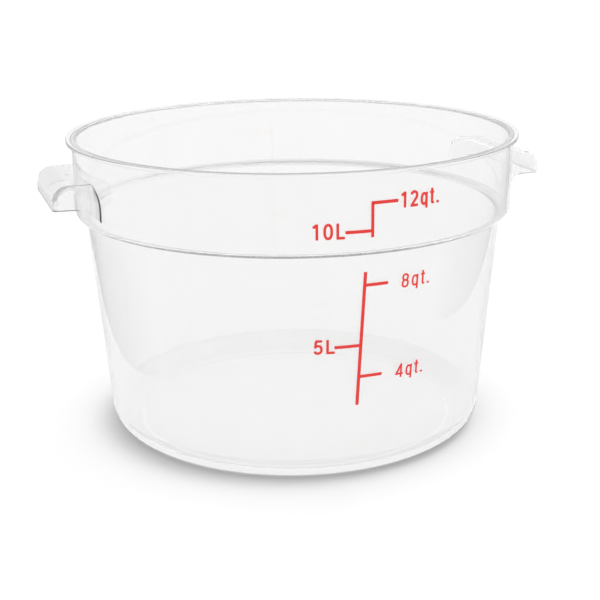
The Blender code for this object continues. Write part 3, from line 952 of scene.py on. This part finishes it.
ground = bmesh.new()
bmesh.ops.create_grid(ground, x_segments=1, y_segments=1, size=FLOOR_REACH,
                      matrix=Matrix.Translation((0, 0, -FLOOR_GAP)))
floor = new_object("floor", ground)
set_finish(floor, white_floor())

# %% [markdown]
# ## Surround, grey cards and sun
#
# Clear plastic shows nothing but its surroundings, so the surround isn't even: it is a touch brighter
# behind the tub and to the right, and the ceiling is greyer, which draws the lines of the rim and the
# step. A product photographer also stands grey cards beside a clear thing, just out of the picture,
# and their reflections give its sides an edge. The two cards here have soft edges. The only lamp is a
# wide, soft sun, which stands high, a little to the right and a little behind the tub.

# %% Surround
SURROUND_GLOW = 0.94
MORE_FROM_BEHIND = 0.05
LESS_FROM_TOP = 0.32
MORE_FROM_RIGHT = 0.12
BEHIND_SPAN = (0.15, 0.75)
TOP_SPAN = (0.45, 0.85)

world = bpy.data.worlds.new("surround")
bpy.context.scene.world = world
sky = Nodes(world)
direction = sky.add('ShaderNodeTexCoord', output=0)
away = sky.along(direction, from_photo(0, 1, 0))
up = sky.along(direction, (0, 0, 1))
right = sky.along(direction, from_photo(1, 0, 0))
glow = (SURROUND_GLOW + sky.rise(away * 0.5 + 0.5, BEHIND_SPAN) * MORE_FROM_BEHIND
        - sky.rise(up, TOP_SPAN) * LESS_FROM_TOP + right * MORE_FROM_RIGHT)
background = sky.add('ShaderNodeBackground', {}, {"Color": (1, 1, 1, 1), "Strength": glow})
sky.add('ShaderNodeOutputWorld', {}, {"Surface": background})
print("surround has", len(world.node_tree.nodes), "nodes")

# %% Grey cards
CARD_GLOW = 0.48
CARD_SOFT_EDGE = 0.08
CARD_NEAR = -0.12
CARD_FAR = 0.80
CARD_SPREAD = 0.25


def card_face(name, top):
    """A grey glow that fades away towards the card's top and ends."""
    material = bpy.data.materials.new(name)
    nodes = Nodes(material)
    place = nodes.add('ShaderNodeTexCoord', output=3)
    depth = nodes.along(place, from_photo(0, 1, 0))
    solid = (nodes.fall(nodes.part(place, 2), (-CARD_SOFT_EDGE, 0), top)
             * nodes.rise(depth, (0, CARD_SOFT_EDGE), CARD_NEAR)
             * nodes.fall(depth, (-CARD_SOFT_EDGE, 0), CARD_FAR))
    clear = nodes.add('ShaderNodeBsdfTransparent')
    grey = nodes.add('ShaderNodeEmission', {}, {"Strength": CARD_GLOW})
    face = nodes.add('ShaderNodeMixShader', {}, {"Fac": solid, 1: clear, 2: grey})
    nodes.add('ShaderNodeOutputMaterial', {}, {"Surface": face})
    return material


def add_card(name, side, aside, top):
    """A card that stands beside the picture and shows in the plastic's gloss alone."""
    bm = bmesh.new()
    bmesh.ops.create_grid(bm, x_segments=1, y_segments=1, size=0.5)
    for vert in bm.verts:
        depth = CARD_NEAR + (CARD_FAR - CARD_NEAR) * (vert.co.x + 0.5)
        across = side * (aside + CARD_SPREAD * depth)
        vert.co = from_photo(across, depth, top * (vert.co.y + 0.5))
    card = new_object(name, bm)
    card.visible_camera = False
    card.visible_diffuse = False
    card.visible_shadow = False
    card.visible_transmission = False
    set_finish(card, card_face(name, top))


add_card("card_left", -1, 0.24, 0.16)
add_card("card_right", 1, 0.34, 0.14)

# %% Sun
SUN_WAY = (-0.40, -0.30, -1.0)
SUN_ANGLE = math.radians(36)
SUN_STRENGTH = 1.17

sun_data = bpy.data.lights.new("window", 'SUN')
sun_data.angle = SUN_ANGLE
sun_data.energy = SUN_STRENGTH
sun = bpy.data.objects.new("window", sun_data)
bpy.context.scene.collection.objects.link(sun)
sun.rotation_mode = 'QUATERNION'
sun.rotation_quaternion = from_photo(*SUN_WAY).to_track_quat('-Z', 'Y')
sun.visible_transmission = False
sun.visible_glossy = False
bpy.context.scene.view_settings.view_transform = 'Standard'
print("sun of strength", SUN_STRENGTH, "across", round(math.degrees(SUN_ANGLE)), "degrees")
